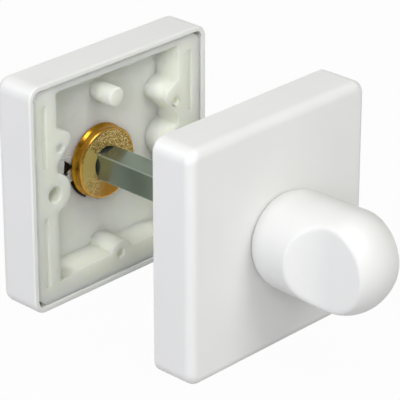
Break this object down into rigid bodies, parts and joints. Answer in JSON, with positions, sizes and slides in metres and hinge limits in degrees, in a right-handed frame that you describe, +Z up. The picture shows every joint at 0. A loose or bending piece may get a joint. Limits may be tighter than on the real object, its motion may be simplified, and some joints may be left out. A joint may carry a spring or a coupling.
{
  "type": "bathroom thumb turn lock",
  "caption": "Square-rose bathroom lock: a domed thumb turn with scooped grips, a square spindle, and a coin-slot release rose on nylon sub-bases with brass bushes.",
  "frame": {"origin": "on the spindle's axis, half way between the backs of the two roses", "axes": "+Y along the spindle towards the release rose, -Y towards the thumb turn, +Z up"},
  "size_m": [0.052, 0.0895, 0.052],
  "materials": {
    "white_paint": "satin white stove enamel",
    "nylon": "natural white moulded nylon, slightly translucent",
    "brass": "turned brass with a grained face",
    "zinc_steel": "zinc-plated drawn steel",
    "black_steel": "black oxide spring steel",
    "black_plastic": "black acetal"
  },
  "bodies": {
    "inner_rose": {"inner_rose_cover": "white_paint", "inner_sub_base": "nylon", "inner_friction_washer": "black_steel", "inner_glide_washer": "black_plastic"},
    "turn": {"thumb_turn": "white_paint", "inner_bush": "brass", "spindle": "zinc_steel"},
    "outer_rose": {"outer_rose_cover": "white_paint", "outer_sub_base": "nylon", "outer_friction_washer": "black_steel", "outer_glide_washer": "black_plastic"},
    "release": {"release_button": "white_paint", "outer_bush": "brass"}
  },
  "joints": [
    {"name": "thumb_turn_hinge", "type": "hinge", "parent": "inner_rose", "child": "turn", "pos_m": [0, 0, 0], "axis": [0, 1, 0], "range_deg": [0, 90]},
    {"name": "outer_rose_slide", "type": "slide", "parent": "inner_rose", "child": "outer_rose", "axis": [0, 1, 0], "range_m": [0, 0.004]},
    {"name": "release_hinge", "type": "hinge", "parent": "outer_rose", "child": "release", "pos_m": [0, 0.028, 0], "axis": [0, 1, 0], "range_deg": [0, 90]}
  ],
  "couplings": [
    {"joint": "release_hinge", "follows": "thumb_turn_hinge", "ratio": 1}
  ]
}
